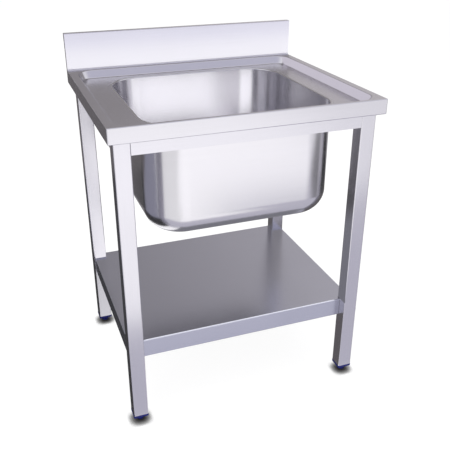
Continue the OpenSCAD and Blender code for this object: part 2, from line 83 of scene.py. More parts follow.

# The colours of the cards that the steel mirrors, from dark to bright: sheets that glow only in the metal,
# painted reflections of shade and light
CARD_BLACK = (0.05, 0.05, 0.052)
CARD_DARK = (0.15, 0.14, 0.145)
CARD_SHADE = (0.25, 0.245, 0.26)
CARD_SLATE = (0.25, 0.25, 0.28)
CARD_DUSK = (0.32, 0.32, 0.4)
CARD_GREY = (0.42, 0.41, 0.43)
CARD_LILAC = (0.6, 0.59, 0.66)
CARD_LAVENDER = (0.68, 0.67, 0.76)
CARD_ROSE = (0.88, 0.84, 0.92)
CARD_PALE = (1.15, 1.14, 1.18)
CARD_ICE = (1.2, 1.2, 1.36)
CARD_BRIGHT = (1.4, 1.39, 1.4)
CARD_SNOW = (1.5, 1.5, 1.52)
CARD_WHITE = (1.52, 1.51, 1.52)

# The sheets' thickness, and the bends and joints that the CAD sheets leave sharp
SHEET_T = 1.2 * MM
EDGE_BEND = 1.8 * MM
FOOT_BEND = 2.6 * MM
CORNER_R = 3.0 * MM
COVE_R = 3.0 * MM
ROLL_R = 4.0 * MM
LIP_R = 3.0 * MM
WELD_W = 3.5 * MM
WELD_H = 0.12 * MM
SEAM_GAP = 0.3 * MM

# Places that the frame gives
SHEET_LOW, SHEET_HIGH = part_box("worktop")
CAP_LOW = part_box("upstand_cap_left")[0]
BOWL_LOW, BOWL_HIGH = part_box("bowl")
SHELF_LOW, SHELF_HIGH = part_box("shelf")
LEG_LOW, LEG_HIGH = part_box("leg_front_right")
REAR_LEG_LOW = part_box("leg_rear_right")[0]
TOP_Z = CAP_LOW.z
FLOOR_Z = BOWL_HIGH.z
UPSTAND_Y = CAP_LOW.y - SHEET_T

# The pressed recess and the bowl, as part.scad has them
RIM_LIP = 12 * MM
UPSTAND_FOLD = 24 * MM
EDGE_SIDE = 21 * MM
EDGE_FRONT = 10 * MM
EDGE_BACK = 14 * MM
RECESS_RUN = 12 * MM
RECESS_R = 45 * MM
BOWL_FLARE = 3 * MM
BOWL_R = 97 * MM
BOWL_BASE_R = 63 * MM
WASTE_R = 27 * MM
SHELF_LIP = 12 * MM
SHELF_BEND = 3 * MM
NOTCH_GAP = 0.5 * MM

# Steps round a quarter turn of a corner and of a bend, and across a rounded edge
CORNER_STEPS = 20
BEND_STEPS = 5
BEVEL_SEGMENTS = 3

# Points this close are one, faces this flat are one, and the angles from which an edge is rounded or sharp
JOIN_DISTANCE = 1e-6
FLAT_ANGLE = math.radians(0.5)
BEVEL_ANGLE = math.radians(30)
SHARP_ANGLE = math.radians(35)


def quarter_turn(steps, first=0.0, last=90.0):
    """Angles from first to last, in radians."""
    return [math.radians(first + (last - first) * k / steps) for k in range(steps + 1)]


def ring(x0, x1, y0, y1, z, r, r_back=None):
    """Points of a level rounded rectangle, anticlockwise from the back right corner."""
    back = r if r_back is None else r_back
    corners = [(x1, y1, 0, back), (x0, y1, 90, back), (x0, y0, 180, r), (x1, y0, 270, r)]
    points = []
    for x, y, start, radius in corners:
        middle_x = x - radius if x == x1 else x + radius
        middle_y = y - radius if y == y1 else y + radius
        for a in quarter_turn(CORNER_STEPS, start, start + 90):
            points.append(Vector((middle_x + radius * math.cos(a), middle_y + radius * math.sin(a), z)))
    return points


def loft(bm, rings, open_back=False):
    """Faces between rings that have the same number of points; open_back leaves out the back side."""
    rows = [[bm.verts.new(p) for p in points] for points in rings]
    count = len(rows[0])
    for outer, inner in zip(rows, rows[1:]):
        for i in range(count):
            if open_back and i == CORNER_STEPS:
                continue
            j = (i + 1) % count
            bm.faces.new((outer[i], outer[j], inner[j], inner[i]))


def strip(bm, profile, start, end):
    """A profile of points, carried straight from the start vector to the end vector."""
    first = [bm.verts.new(p + start) for p in profile]
    second = [bm.verts.new(p + end) for p in profile]
    for i in range(len(profile) - 1):
        bm.faces.new((first[i], second[i], second[i + 1], first[i + 1]))


def settle(obj):
    """Turns an object's modifiers into its mesh, and gives it smooth faces with weighted normals."""
    shape = bpy.data.meshes.new_from_object(obj.evaluated_get(bpy.context.evaluated_depsgraph_get()))
    obj.modifiers.clear()
    obj.data = shape
    shape.shade_smooth()
    shape.set_sharp_from_angle(angle=SHARP_ANGLE)
    weighted = obj.modifiers.new("weighted normals", "WEIGHTED_NORMAL")
    weighted.keep_sharp = True
    return obj


def new_object(name, bm):
    """A linked object from a bmesh, with doubled points joined."""
    bmesh.ops.remove_doubles(bm, verts=bm.verts, dist=JOIN_DISTANCE)
    mesh = bpy.data.meshes.new(name)
    bm.to_mesh(mesh)
    bm.free()
    obj = bpy.data.objects.new(name, mesh)
    bpy.context.scene.collection.objects.link(obj)
    return obj


def sheet_piece(name, bm):
    """A folded sheet from its visible surface: the thickness goes to the other side."""
    obj = new_object(name, bm)
    solid = obj.modifiers.new("thickness", "SOLIDIFY")
    solid.thickness = SHEET_T
    solid.offset = -1
    solid.use_even_offset = True
    bpy.context.view_layer.update()
    return settle(obj)


def rounded_copy(node, width):
    """A copy of a CAD node with its edges rounded, which then stands for the node."""
    bm = bmesh.new()
    bm.from_mesh(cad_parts[node].data)
    bmesh.ops.remove_doubles(bm, verts=bm.verts, dist=JOIN_DISTANCE)
    bmesh.ops.dissolve_limit(bm, angle_limit=FLAT_ANGLE, verts=bm.verts, edges=bm.edges)
    obj = new_object(node + "_finished", bm)
    bevel = obj.modifiers.new("rounded edges", "BEVEL")
    bevel.width = width
    bevel.segments = BEVEL_SEGMENTS
    bevel.limit_method = "ANGLE"
    bevel.angle_limit = BEVEL_ANGLE
    bpy.context.view_layer.update()
    return settle(obj)


def place(obj, material, nodes, body="sink"):
    """Gives a piece its material and its body, and hides the CAD nodes that it stands for."""
    obj.data.materials.clear()
    obj.data.materials.append(material)
    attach(obj, body)
    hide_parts(*nodes)


def recess_rings():
    """The rolled and sloping side of the pressed recess, from the plate to the recess's floor."""
    drop = TOP_Z - FLOOR_Z
    slope = math.degrees(math.atan2(drop, RECESS_RUN))
    tangent = ROLL_R * math.tan(math.radians(slope / 2))
    levels = []
    for a in quarter_turn(BEND_STEPS, 0, slope):
        levels.append((ROLL_R * math.sin(a) - tangent, TOP_Z - ROLL_R * (1 - math.cos(a))))
    for a in quarter_turn(BEND_STEPS, slope, 0):
        levels.append((RECESS_RUN + tangent - ROLL_R * math.sin(a), FLOOR_Z + ROLL_R * (1 - math.cos(a))))
    x = SHEET_HIGH.x - EDGE_SIDE
    y0 = SHEET_LOW.y + EDGE_FRONT
    y1 = UPSTAND_Y - EDGE_BACK
    return [ring(inset - x, x - inset, y0 + inset, y1 - inset, z, RECESS_R - inset) for inset, z in levels]


def bowl_opening(z, grow):
    """A ring that follows the bowl's flared edge, grown outwards."""
    x = BOWL_HIGH.x + grow
    return ring(-x, x, BOWL_LOW.y - grow, BOWL_HIGH.y + grow, z, BOWL_R + BOWL_FLARE + grow)


def rim_ring(inset, z):
    """A ring of the folded rim; its back ends stop at the foot of the upstand."""
    x = SHEET_HIGH.x - inset
    r = max(CORNER_R - inset, 0)
    return ring(-x, x, SHEET_LOW.y + inset, UPSTAND_Y - COVE_R, z, r, 0)


def worktop():
    """One folded sheet: rim, plate, pressed recess and upstand."""
    bm = bmesh.new()
    bend = EDGE_BEND
    rim = [rim_ring(RIM_LIP, SHEET_LOW.z)]
    for a in quarter_turn(BEND_STEPS, 90, 0):
        rim.append(rim_ring(FOOT_BEND * (1 - math.cos(a)), SHEET_LOW.z + FOOT_BEND * (1 - math.sin(a))))
    for a in quarter_turn(BEND_STEPS):
        rim.append(rim_ring(bend * (1 - math.cos(a)), TOP_Z - bend * (1 - math.sin(a))))
    loft(bm, rim, open_back=True)
    recess = recess_rings()
    loft(bm, [rim[-1]] + recess + [bowl_opening(FLOOR_Z, SEAM_GAP)])

    upstand = []
    for a in quarter_turn(BEND_STEPS):
        upstand.append((UPSTAND_Y - COVE_R * (1 - math.sin(a)), TOP_Z + COVE_R * (1 - math.cos(a))))
    for a in quarter_turn(BEND_STEPS):
        upstand.append((UPSTAND_Y + bend * (1 - math.cos(a)), SHEET_HIGH.z - bend * (1 - math.sin(a))))
    for a in quarter_turn(BEND_STEPS, 90, 0):
        upstand.append((SHEET_HIGH.y - bend * (1 - math.cos(a)), SHEET_HIGH.z - bend * (1 - math.sin(a))))
    upstand.append((SHEET_HIGH.y, SHEET_HIGH.z - UPSTAND_FOLD))
    across = Vector((SHEET_HIGH.x, 0, 0))
    strip(bm, [Vector((0, y, z)) for y, z in upstand], -across, across)

    for side in (-1, 1):
        end = [(side * SHEET_HIGH.x, TOP_Z)]
        for a in quarter_turn(BEND_STEPS):
            inset = FOOT_BEND * (1 - math.cos(a))
            end.append((side * (SHEET_HIGH.x - inset), SHEET_LOW.z + FOOT_BEND * (1 - math.sin(a))))
        end.append((side * (SHEET_HIGH.x - RIM_LIP), SHEET_LOW.z))
        near = Vector((0, UPSTAND_Y - COVE_R, 0))
        far = Vector((0, SHEET_HIGH.y, 0))
        profile = [Vector((x, 0, z)) for x, z in end]
        if side < 0:
            strip(bm, profile, near, far)
        else:
            strip(bm, profile, far, near)
    return sheet_piece("worktop_sheet", bm)


def bowl_ring(inset, z):
    """A ring of the bowl's inner surface, inset from its upright inner wall."""
    low = BOWL_LOW.xy + Vector((1, 1)) * (BOWL_FLARE + SHEET_T + inset)
    high = BOWL_HIGH.xy - Vector((1, 1)) * (BOWL_FLARE + SHEET_T + inset)
    return ring(low.x, high.x, low.y, high.y, z, BOWL_R - SHEET_T - inset)


def bowl():
    """The drawn bowl, from its flared edge to the hole for the waste."""
    bm = bmesh.new()
    base_r = BOWL_BASE_R - SHEET_T
    inner_z = BOWL_LOW.z + SHEET_T
    rings = [bowl_opening(FLOOR_Z, 0)]
    for a in quarter_turn(BEND_STEPS, 90, 0):
        rings.append(bowl_ring(-LIP_R * (1 - math.cos(a)), FLOOR_Z - LIP_R * (1 - math.sin(a))))
    for a in quarter_turn(CORNER_STEPS):
        rings.append(bowl_ring(base_r * (1 - math.cos(a)), inner_z + base_r * (1 - math.sin(a))))
    x, y = (BOWL_LOW.xy + BOWL_HIGH.xy) / 2
    rings.append(ring(x - WASTE_R, x + WASTE_R, y - WASTE_R, y + WASTE_R, inner_z, WASTE_R))
    loft(bm, rings)
    return sheet_piece("bowl_shell", bm)


def weld():
    """The ground weld that joins the bowl to the worktop: a shallow crowned band over the seam."""
    bm = bmesh.new()
    rings = []
    for k in range(BEND_STEPS + 1):
        share = 2 * k / BEND_STEPS - 1
        rings.append(bowl_opening(FLOOR_Z + WELD_H * (1 - share * share), -share * WELD_W / 2))
    loft(bm, rings)
    return settle(new_object("bowl_weld", bm))


def shelf():
    """The folded shelf, notched round the legs."""
    bm = bmesh.new()
    x0, x1 = SHELF_LOW.x, SHELF_HIGH.x
    y0, y1 = SHELF_LOW.y, SHELF_HIGH.y
    notch_x = LEG_LOW.x - NOTCH_GAP
    notch_y0 = LEG_HIGH.y + NOTCH_GAP
    notch_y1 = REAR_LEG_LOW.y - NOTCH_GAP
    bend = SHELF_BEND
    # Each fold: the corners of its top edge, and the way it faces
    folds = [
        (Vector((-notch_x, y0, 0)), Vector((notch_x, y0, 0)), Vector((0, -1, 0))),
        (Vector((x1, notch_y0, 0)), Vector((x1, notch_y1, 0)), Vector((1, 0, 0))),
        (Vector((notch_x, y1, 0)), Vector((-notch_x, y1, 0)), Vector((0, 1, 0))),
        (Vector((x0, notch_y1, 0)), Vector((x0, notch_y0, 0)), Vector((-1, 0, 0))),
    ]
    levels = []
    for a in quarter_turn(BEND_STEPS):
        levels.append((bend * (1 - math.sin(a)), SHELF_HIGH.z - bend * (1 - math.cos(a))))
    for a in quarter_turn(BEND_STEPS):
        levels.append((bend * (1 - math.cos(a)), SHELF_LOW.z + bend * (1 - math.sin(a))))
    levels.append((SHELF_LIP, SHELF_LOW.z))
    for start, end, out in folds:
        profile = [Vector((0, 0, z)) - out * inset for inset, z in levels]
        strip(bm, profile, end, start)
    outline = [
        (-notch_x, y0 + bend), (notch_x, y0 + bend), (notch_x, notch_y0), (x1 - bend, notch_y0),
        (x1 - bend, notch_y1), (notch_x, notch_y1), (notch_x, y1 - bend), (-notch_x, y1 - bend),
        (-notch_x, notch_y1), (x0 + bend, notch_y1), (x0 + bend, notch_y0), (-notch_x, notch_y0),
    ]
    bm.faces.new([bm.verts.new((x, y, SHELF_HIGH.z)) for x, y in outline])
    return sheet_piece("shelf_sheet", bm)


def opaque(colour):
    """A colour with its alpha; another node's output is passed on."""
    return (*colour, 1) if isinstance(colour, tuple) else colour


# The range that most of a noise lies in
NOISE_SPAN = (0.3, 0.7)

# Brushing: each set of lines' scale along it and across it, offset and detail; and how much each does
FINE_LINES = (9, 1600, 0.0, 2.0)
BROAD_LINES = (3, 260, 3.0, 3.0)
SCRATCHES = (14, 420, 9.0, 1.0)
SCRATCH_SPAN = (0.70, 0.74)
FINE_SHARE = 0.6
SCRATCH_ROUGH = 0.02
SCRATCH_DEPTH = 0.3

# Zinc's crystals, a moulding's grain and a lathe's rings
SPANGLE_SCALE = 160.0
GRAIN_DETAIL = (4.0, 0.6)
RING_SCALE = 3000
RING_DETAIL = 2.0
TARNISH_SPAN = (0.35, 0.7)

# The clouds in each finish: the noise's scale, detail and roughness
STEEL_CLOUD = (7.0, 4.0, 0.6)
ZINC_CLOUD = (40.0, 5.0, 0.6)
MOULDED_CLOUD = (60.0, 3.0)
TURNED_CLOUD = (90.0, 4.0, 0.6)

# The cloud's share in the tone, and in the gloss
STEEL_TONE_CLOUD = 0.5
ZINC_TONE_CLOUD = 0.6
MOULDED_TONE_CLOUD = 0.6
STEEL_GLOSS_CLOUD = 0.45
TURNED_GLOSS_CLOUD = 0.5

# How far the roughness strays below and above its middle
STEEL_STRAY = (-0.02, 0.02)
ZINC_STRAY = (-0.08, 0.1)
MOULDED_STRAY = (-0.08, 0.08)
TURNED_STRAY = (-0.06, 0.1)

# The strength of each metal's bump, and how far a bump of full strength stands out
STEEL_BUMP = 0.012
ZINC_BUMP = 0.15
TURNED_BUMP = 0.1
METAL_BUMP_H = 0.4 * MM
FINE_BUMP_H = 0.3 * MM

# How squarely a face looks up or sideways before its brushing turns
LEVEL_FACING = 0.85
SIDE_FACING = 0.7


class Shader:
    """A node material, built one node at a time."""

    def __init__(self, name, blocks=None):
        blocks = bpy.data.materials if blocks is None else blocks
        self.material = blocks.new(name)
        self.material.use_nodes = True
        self.tree = self.material.node_tree
        self.tree.nodes.clear()

    def add(self, kind, inputs=None, **settings):
        """Adds a node; an input is a value, or another node's output to link."""
        node = self.tree.nodes.new(kind)
        for key, value in settings.items():
            setattr(node, key, value)
        for key, value in (inputs or {}).items():
            if isinstance(value, bpy.types.NodeSocket):
                self.tree.links.new(value, node.inputs[key])
            else:
                node.inputs[key].default_value = value
        return node

    def math(self, operation, a, b=0.0):
        """A math node's result."""
        return self.add("ShaderNodeMath", {0: a, 1: b}, operation=operation).outputs[0]

    def blend(self, a, b, factor):
        """A number between a and b."""
        return self.add("ShaderNodeMix", {"Factor": factor, "A": a, "B": b}).outputs["Result"]

    def tint(self, factor, a, b):
        """A colour between a and b."""
        inputs = {0: factor, 6: opaque(a), 7: opaque(b)}
        return self.add("ShaderNodeMix", inputs, data_type="RGBA").outputs[2]

    def spread(self, value, low, high, to_low=0.0, to_high=1.0, kind="LINEAR"):
        """Maps a number from one range to another."""
        names = {"Value": value, "From Min": low, "From Max": high, "To Min": to_low, "To Max": to_high}
        return self.add("ShaderNodeMapRange", names, interpolation_type=kind).outputs["Result"]

    def mix(self, factor, a, b):
        """A surface between two surfaces."""
        return self.add("ShaderNodeMixShader", {0: factor, 1: a, 2: b}).outputs[0]

    def glow(self, colour, strength=1.0):
        """A surface that gives its colour as light."""
        return self.add("ShaderNodeEmission", {"Color": opaque(colour), "Strength": strength}).outputs[0]

    def seen(self):
        """One for a ray of the camera, or one that the metal or glass sends on, and zero for the rest."""
        rays = self.add("ShaderNodeLightPath").outputs
        polished = self.math("MAXIMUM", rays["Is Glossy Ray"], rays["Is Transmission Ray"])
        return self.math("MAXIMUM", rays["Is Camera Ray"], polished)

    def close(self, surface, kind="ShaderNodeOutputMaterial"):
        """Links the surface to the material's output."""
        self.add(kind, {0: surface})
        return self.material

    def here(self):
        """The object's own coordinates."""
        return self.add("ShaderNodeTexCoord").outputs["Object"]

    def noise(self, vector, scale, detail=3.0, rough=0.5):
        """A noise texture's factor."""
        names = {"Vector": vector, "Scale": scale, "Detail": detail, "Roughness": rough}
        return self.add("ShaderNodeTexNoise", names).outputs["Fac"]

    def vector(self, x, y, z):
        """A vector from three numbers."""
        return self.add("ShaderNodeCombineXYZ", {"X": x, "Y": y, "Z": z}).outputs[0]

    def lines(self, along, across, along_scale, across_scale, offset, detail):
        """Noise that is drawn out along the brushing."""
        x = self.math("MULTIPLY", along, along_scale)
        y = self.math("MULTIPLY", across, across_scale)
        return self.noise(self.vector(x, y, offset), 1.0, detail)

    def usual(self, noise, to_low=0.0, to_high=1.0):
        """Maps the range that most of a noise lies in."""
        return self.spread(noise, *NOISE_SPAN, to_low, to_high)

    def stray(self, noise, middle, reach):
        """A roughness that a noise takes below and above its middle."""
        return self.usual(noise, middle + reach[0], middle + reach[1])

    def finish(self, colour, roughness, height, bump, bump_distance, **constants):
        """The surface shader, with a bump from height; the constants are set on the shader itself."""
        normal = self.add("ShaderNodeBump", {"Height": height, "Strength": bump, "Distance": bump_distance})
        surface = self.add("ShaderNodeBsdfPrincipled", {
            "Base Color": colour, "Roughness": roughness, "Normal": normal.outputs[0]})
        for key, value in constants.items():
            surface.inputs[key].default_value = value
        return self.close(surface.outputs[0])


def grain_coordinates(shader, grain):
    """Coordinates with the brushing along the first axis: along a sheet, up a tube or round a bowl."""
    x, y, z = shader.add("ShaderNodeSeparateXYZ", {0: shader.here()}).outputs
    normal = shader.add("ShaderNodeNewGeometry").outputs["True Normal"]
    facing = shader.add("ShaderNodeSeparateXYZ", {0: normal}).outputs
    if grain == "tube":
        return z, shader.math("ADD", x, y)
    if grain == "bowl":
        level = shader.math("GREATER_THAN", shader.math("ABSOLUTE", facing["Z"]), LEVEL_FACING)
        return shader.math("ADD", x, y), shader.blend(z, y, level)
    side = shader.math("GREATER_THAN", shader.math("ABSOLUTE", facing["X"]), SIDE_FACING)
    return shader.blend(x, z, side), shader.blend(shader.math("ADD", y, z), y, side)


def brushed_steel(name, colour, shade, grain, rough):
    """Brushed stainless steel: long fine lines, cloudy roughness, and a few thin scratches."""
    s = Shader(name)
    along, across = grain_coordinates(s, grain)
    fine = s.lines(along, across, *FINE_LINES)
    broad = s.lines(along, across, *BROAD_LINES)
    scratch = s.spread(s.lines(along, across, *SCRATCHES), *SCRATCH_SPAN)
    cloud = s.noise(s.here(), *STEEL_CLOUD)
    brushing = s.blend(broad, fine, FINE_SHARE)
    roughness = s.stray(s.blend(brushing, cloud, STEEL_GLOSS_CLOUD), rough, STEEL_STRAY)
    roughness = s.math("ADD", roughness, s.math("MULTIPLY", scratch, SCRATCH_ROUGH))
    tone = s.tint(s.usual(s.blend(broad, cloud, STEEL_TONE_CLOUD)), shade, colour)
    height = s.math("SUBTRACT", brushing, s.math("MULTIPLY", scratch, SCRATCH_DEPTH))
    return s.finish(tone, roughness, height, STEEL_BUMP, METAL_BUMP_H, Metallic=1.0)


def plated_steel(name, colour, shade, rough):
    """Zinc plating: a cloudy spangle with dull patches."""
    s = Shader(name)
    crystals = s.add("ShaderNodeTexVoronoi", {"Vector": s.here(), "Scale": SPANGLE_SCALE})
    spangle = crystals.outputs["Distance"]
    cloud = s.noise(s.here(), *ZINC_CLOUD)
    tone = s.tint(s.blend(spangle, cloud, ZINC_TONE_CLOUD), shade, colour)
    roughness = s.stray(cloud, rough, ZINC_STRAY)
    return s.finish(tone, roughness, cloud, ZINC_BUMP, METAL_BUMP_H, Metallic=1.0)


def moulded(name, colour, shade, rough, grain_scale, bump, **constants):
    """Moulded plastic or rubber: a fine spark-eroded grain, with cloudy gloss and a tone that is darker in
    the grain's low spots and in cloudy patches.
    """
    s = Shader(name)
    grain = s.noise(s.here(), grain_scale, *GRAIN_DETAIL)
    cloud = s.noise(s.here(), *MOULDED_CLOUD)
    tone = s.tint(s.usual(s.blend(grain, cloud, MOULDED_TONE_CLOUD)), shade, colour)
    roughness = s.stray(cloud, rough, MOULDED_STRAY)
    return s.finish(tone, roughness, grain, bump, FINE_BUMP_H, **constants)


def turned_metal(name, colour, shade, rough):
    """Turned brass or polished steel: fine rings with faint tarnish."""
    s = Shader(name)
    height = s.add("ShaderNodeSeparateXYZ", {0: s.here()}).outputs[2]
    rings = s.noise(s.vector(0.0, 0.0, s.math("MULTIPLY", height, RING_SCALE)), 1.0, RING_DETAIL)
    cloud = s.noise(s.here(), *TURNED_CLOUD)
    tone = s.tint(s.spread(cloud, *TARNISH_SPAN), shade, colour)
    roughness = s.stray(s.blend(rings, cloud, TURNED_GLOSS_CLOUD), rough, TURNED_STRAY)
    return s.finish(tone, roughness, rings, TURNED_BUMP, FINE_BUMP_H, Metallic=1.0)


# Brushed steel: name, colour, darker shade, grain and roughness
BRUSHED = {
    "sheet": ("brushed_sheet", (0.63, 0.62, 0.66), (0.60, 0.59, 0.625), "sheet", 0.24),
    # The shelf's steel is the sheet's steel tinted a little darker and bluer: painted shade for where the
    # shelf sits under the bowl
    "shelf": ("shelf_steel_painted_shade", (0.59, 0.60, 0.675), (0.56, 0.57, 0.64), "sheet", 0.24),
    "bowl": ("satin_bowl", (0.65, 0.64, 0.675), (0.62, 0.61, 0.64), "bowl", 0.22),
    "weld": ("ground_weld", (0.66, 0.65, 0.66), (0.58, 0.57, 0.57), "bowl", 0.34),
    "tube": ("brushed_tube", (0.63, 0.62, 0.665), (0.60, 0.59, 0.63), "tube", 0.24),
    "rail": ("brushed_rail", (0.63, 0.62, 0.665), (0.60, 0.59, 0.63), "sheet", 0.24),
}

# Other metal: name, colour, darker shade and roughness
TURNED = {
    "polished": ("polished_steel", (0.72, 0.71, 0.72), (0.62, 0.61, 0.62), 0.18),
    "brass": ("turned_brass", (0.72, 0.53, 0.22), (0.55, 0.38, 0.14), 0.30),
}
PLATED = {
    "zinc": ("zinc_plating", (0.62, 0.63, 0.62), (0.45, 0.46, 0.46), 0.42),
}

# Plastic and rubber: name, colour, darker shade, roughness, and the grain's scale and depth
MOULDED = {
    "blue": ("blue_nylon", (0.008, 0.013, 0.17), (0.005, 0.009, 0.12), 0.55, 900.0, 0.2),
    "black": ("black_nylon", (0.035, 0.035, 0.038), (0.02, 0.02, 0.022), 0.5, 900.0, 0.2),
    "rubber": ("black_rubber", (0.030, 0.030, 0.032), (0.018, 0.018, 0.018), 0.62, 700.0, 0.3),
    "pipe": ("white_polypropylene", (0.78, 0.78, 0.76), (0.70, 0.70, 0.67), 0.38, 800.0, 0.12),
}

# Settings of the surface shader that one material alone has: the blue plastic shines less
DULLER = {"blue": {"Specular IOR Level": 0.25}}


def build_materials():
    """Every material of the part, by its key in the tables."""
    materials = {key: brushed_steel(*looks) for key, looks in BRUSHED.items()}
    materials.update({key: turned_metal(*looks) for key, looks in TURNED.items()})
    materials.update({key: plated_steel(*looks) for key, looks in PLATED.items()})
    materials.update({key: moulded(*looks, **DULLER.get(key, {})) for key, looks in MOULDED.items()})
    return materials


# The words for a corner or a side in the nodes' names
CORNERS = ["front_left", "front_right", "rear_left", "rear_right"]
SIDES = ["left", "right"]

# The rounded copies of CAD nodes that stand still: material, edge radius and the nodes' names
COPIES = [
    ("sheet", 0.3 * MM, ["upstand_cap_" + side for side in SIDES]),
    ("tube", 0.3 * MM, ["leg_" + corner for corner in CORNERS]),
    ("rail", 0.2 * MM, ["front_rail", "rear_rail"]),
    ("tube", 0.5 * MM, ["side_rail_" + side for side in SIDES]),
    ("zinc", 0.4 * MM, ["worktop_stiffener_" + side for side in SIDES] + ["shelf_stiffener"]),
    ("zinc", 0.5 * MM, ["shelf_bracket_" + corner for corner in CORNERS]),
    ("zinc", 0.4 * MM, ["worktop_screws", "worktop_nuts", "shelf_bolts", "shelf_nuts"]),
    ("blue", 0.6 * MM, ["tube_end_" + corner for corner in CORNERS]),
    ("brass", 0.3 * MM, ["foot_bushes", "waste_insert"]),
    ("polished", 0.4 * MM, ["waste_flange", "waste_screw"]),
    ("rubber", 0.3 * MM, ["waste_seal", "waste_gasket"]),
    ("pipe", 0.6 * MM, ["waste_body"]),
]

# The same for the pieces that move, of each foot and of the plug: material, edge radius, node and body
FOOT_COPIES = [
    ("blue", 0.7 * MM, "foot_{}", "{}_screw"),
    ("zinc", 0.6 * MM, "foot_stud_{}", "{}_screw"),
    ("black", 0.5 * MM, "foot_glide_{}", "{}_glide"),
]
PLUG_COPIES = [
    ("rubber", 0.5 * MM, "waste_plug", "plug"),
    ("polished", 0.1 * MM, "plug_ring", "pull_ring"),
]


def build_pieces(materials):
    """Every visible piece, each on its body."""
    place(worktop(), materials["sheet"], ["worktop"])
    place(bowl(), materials["bowl"], ["bowl"])
    bead = weld()
    bead.data.materials.append(materials["weld"])
    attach(bead, "sink")
    place(shelf(), materials["shelf"], ["shelf"])
    for finish, width, nodes in COPIES:
        for node in nodes:
            place(rounded_copy(node, width), materials[finish], [node])
    for finish, width, node, body in FOOT_COPIES:
        for corner in CORNERS:
            name = node.format(corner)
            place(rounded_copy(name, width), materials[finish], [name], body.format(corner))
    for finish, width, node, body in PLUG_COPIES:
        place(rounded_copy(node, width), materials[finish], [node], body)


def build_world():
    """A plain studio: the camera and the metal see it as white, and its light is a little softer."""
    s = Shader("studio", bpy.data.worlds)
    colour = s.tint(s.seen(), STUDIO_LIGHT, WHITE)
    studio = s.add("ShaderNodeBackground", {"Color": colour}).outputs[0]
    bpy.context.scene.world = s.close(studio, "ShaderNodeOutputWorld")


def stage(obj, material):
    """Gives a studio object its material."""
    obj.data.materials.append(material)


def only_in_metal(obj, material):
    """A studio piece that shows in the metal alone: it lights nothing and shades nothing."""
    stage(obj, material)
    obj.visible_camera = False
    obj.visible_diffuse = False
    obj.visible_shadow = False


def build_floor():
    """A plain pale floor that keeps the part's shadow, with a painted contact shadow round the feet, and is
    white elsewhere.
    """
    bm = bmesh.new()
    bmesh.ops.create_grid(bm, x_segments=1, y_segments=1, size=FLOOR_SIZE / 2)
    s = Shader("pale_floor")
    # Painted contact shadow: ambient occlusion darkens the floor's colour and its white round the feet
    near = s.add("ShaderNodeAmbientOcclusion", {"Distance": CONTACT_SHADE}).outputs["AO"]
    outside_painted_shadow = s.math("POWER", near, CONTACT_POWER)
    pale = s.tint(outside_painted_shadow, FLOOR_PAINTED_SHADOW, FLOOR_COLOUR)
    lit = s.add("ShaderNodeBsdfDiffuse", {"Color": pale}).outputs[0]
    white = s.glow(outside_painted_shadow, FLOOR_WHITE)
    share = s.math("MULTIPLY", s.seen(), 1 - FLOOR_LIT_SHARE)
    stage(new_object("studio_floor", bm), s.close(s.mix(share, lit, white)))


def build_canopy():
    """The studio's grey canopy, that the level and sloping steel mirrors: pale at its foot all round."""
    bm = bmesh.new()
    rings = []
    for a in quarter_turn(CORNER_STEPS):
        r = CANOPY_R * math.cos(a)
        rings.append(ring(-r, r, -r, r, CANOPY_R * math.sin(a), r))
    loft(bm, rings)
    s = Shader("canopy_grey")
    way = s.add("ShaderNodeVectorMath", {0: s.here()}, operation="NORMALIZE").outputs[0]
    x, y, z = s.add("ShaderNodeSeparateXYZ", {0: way}).outputs
    behind = s.tint(s.spread(x, *SIDE_SPAN, kind="SMOOTHSTEP"), BEHIND_LEFT, BEHIND_RIGHT)
    above = s.tint(s.spread(y, *BEHIND_SPAN, kind="SMOOTHSTEP"), OVERHEAD, behind)
    above = s.tint(s.spread(y, *FRONT_SPAN, kind="SMOOTHSTEP"), above, IN_FRONT)
    colour = s.tint(s.spread(z, *HORIZON_SPAN, kind="SMOOTHSTEP"), HORIZON, above)
    only_in_metal(new_object("studio_canopy", bm), s.close(s.glow(colour)))


def studio_card(name, corners, colour):
    """A studio card, seen from the side that its corners run anticlockwise."""
    bm = bmesh.new()
    bm.faces.new([bm.verts.new(point) for point in corners])
    s = Shader(name)
    behind = s.add("ShaderNodeNewGeometry").outputs["Backfacing"]
    clear = s.add("ShaderNodeBsdfTransparent").outputs[0]
    only_in_metal(new_object(name, bm), s.close(s.mix(behind, s.glow(colour), clear)))


def soft_light(name, at, towards, size, radiance, in_metal):
    """A soft area lamp; its power follows from its size and how bright its face is."""
    lamp = bpy.data.lights.new(name, "AREA")
    lamp.shape = "RECTANGLE"
    lamp.size, lamp.size_y = size
    lamp.energy = radiance * math.pi * size[0] * size[1]
    obj = bpy.data.objects.new(name, lamp)
    obj.location = at
    obj.rotation_euler = (Vector(towards) - Vector(at)).to_track_quat("-Z", "Y").to_euler()
    obj.visible_camera = False
    obj.visible_glossy = in_metal
    bpy.context.scene.collection.objects.link(obj)


# The lamps: place, aim, size, radiance, and whether the metal mirrors the lamp itself
LAMPS = {
    "overhead": ((0.3, 0.3, 3.2), (0.1, 0.1, 0.6), (3.4, 3.2), 1.8, False),
    "key": ((-2.7, -1.8, 2.5), (0, 0, 0.6), (2.2, 1.8), 2.0, False),
    "front": ((-0.05, -2.1, 0.9), (-0.05, 0, 0.7), (1.3, 1.7), 1.45, False),
    "bowl_fill": ((0.08, -0.215, 0.6525), (0.08, 0.2, 0.6525), (0.36, 0.175), 1.35, True),
}


def build_lamps():
    """The soft lamps."""
    for name, settings in LAMPS.items():
        soft_light(name, *settings)


# Heights of the cards on the floor; where cards overlap, the higher one shows
CARD_Z = 1 * MM
CARD_Z_OVER = 1.2 * MM
CARD_Z_TOP = 1.5 * MM

